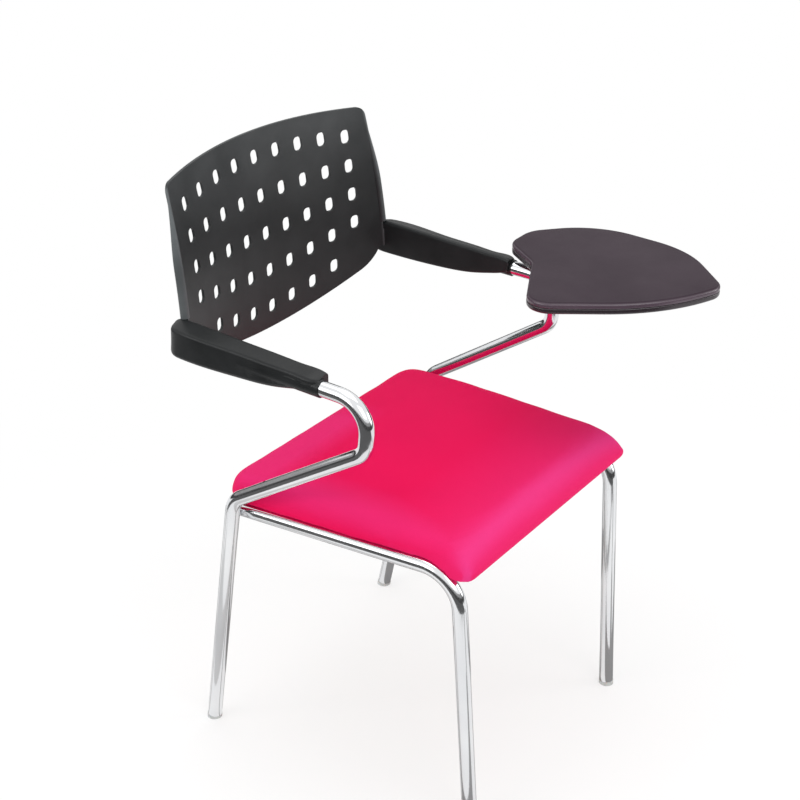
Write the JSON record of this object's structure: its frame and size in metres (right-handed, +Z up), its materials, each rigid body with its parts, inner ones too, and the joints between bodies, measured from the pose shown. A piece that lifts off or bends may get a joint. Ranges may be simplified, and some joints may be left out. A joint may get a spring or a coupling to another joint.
{
  "type": "tablet arm chair",
  "caption": "Chair on a bent chromed tube frame with an upholstered seat, a slotted plastic back, arm sleeves and a writing tablet that flips up beside the sitter.",
  "frame": {"origin": "on the floor, under the middle of the chair's box", "axes": "+Z up; -Y forward, the way the sitter faces; +X towards the sitter's left, where the tablet is"},
  "size_m": [0.659, 0.6452, 0.884],
  "materials": {
    "frame_chrome": "bright plated",
    "glide_plastic": "smooth",
    "plug_plastic": "satin",
    "fastener_steel": "plated",
    "bracket_steel": "satin black",
    "seat_board": "sanded plywood",
    "seat_fabric": "woven",
    "back_plastic": "fine grain",
    "arm_plastic": "satin",
    "tablet_board": "satin"
  },
  "bodies": {
    "chair": {"rear_leg_arm_tube_left": "frame_chrome", "rear_leg_arm_tube_right": "frame_chrome", "front_leg_rail_tube_left": "frame_chrome", "front_leg_rail_tube_right": "frame_chrome", "front_cross_tube": "frame_chrome", "rear_cross_tube": "frame_chrome", "hinge_spindle": "frame_chrome", "foot_glide_front_left": "glide_plastic", "foot_glide_front_right": "glide_plastic", "foot_glide_rear_left": "glide_plastic", "foot_glide_rear_right": "glide_plastic", "rail_end_plug_left": "plug_plastic", "rail_end_plug_right": "plug_plastic", "seat_screws": "fastener_steel", "seat_tee_nuts": "fastener_steel", "back_screws": "fastener_steel", "arm_screws": "fastener_steel", "stop_pin": "fastener_steel", "spindle_washer": "fastener_steel", "spindle_screw": "fastener_steel", "seat_pan": "seat_board", "seat_cushion": "seat_fabric", "back_shell": "back_plastic", "arm_sleeve_left": "arm_plastic", "arm_sleeve_right": "arm_plastic"},
    "tablet": {"tablet_top": "tablet_board", "tablet_plate": "bracket_steel", "hinge_sleeve": "bracket_steel", "tablet_screws": "fastener_steel"}
  },
  "joints": [
    {"name": "tablet_flip", "type": "hinge", "parent": "chair", "child": "tablet", "pos_m": [0.19192, -0.13053, 0.646], "axis": [0, 1, 0], "range_deg": [0, 90]}
  ]
}
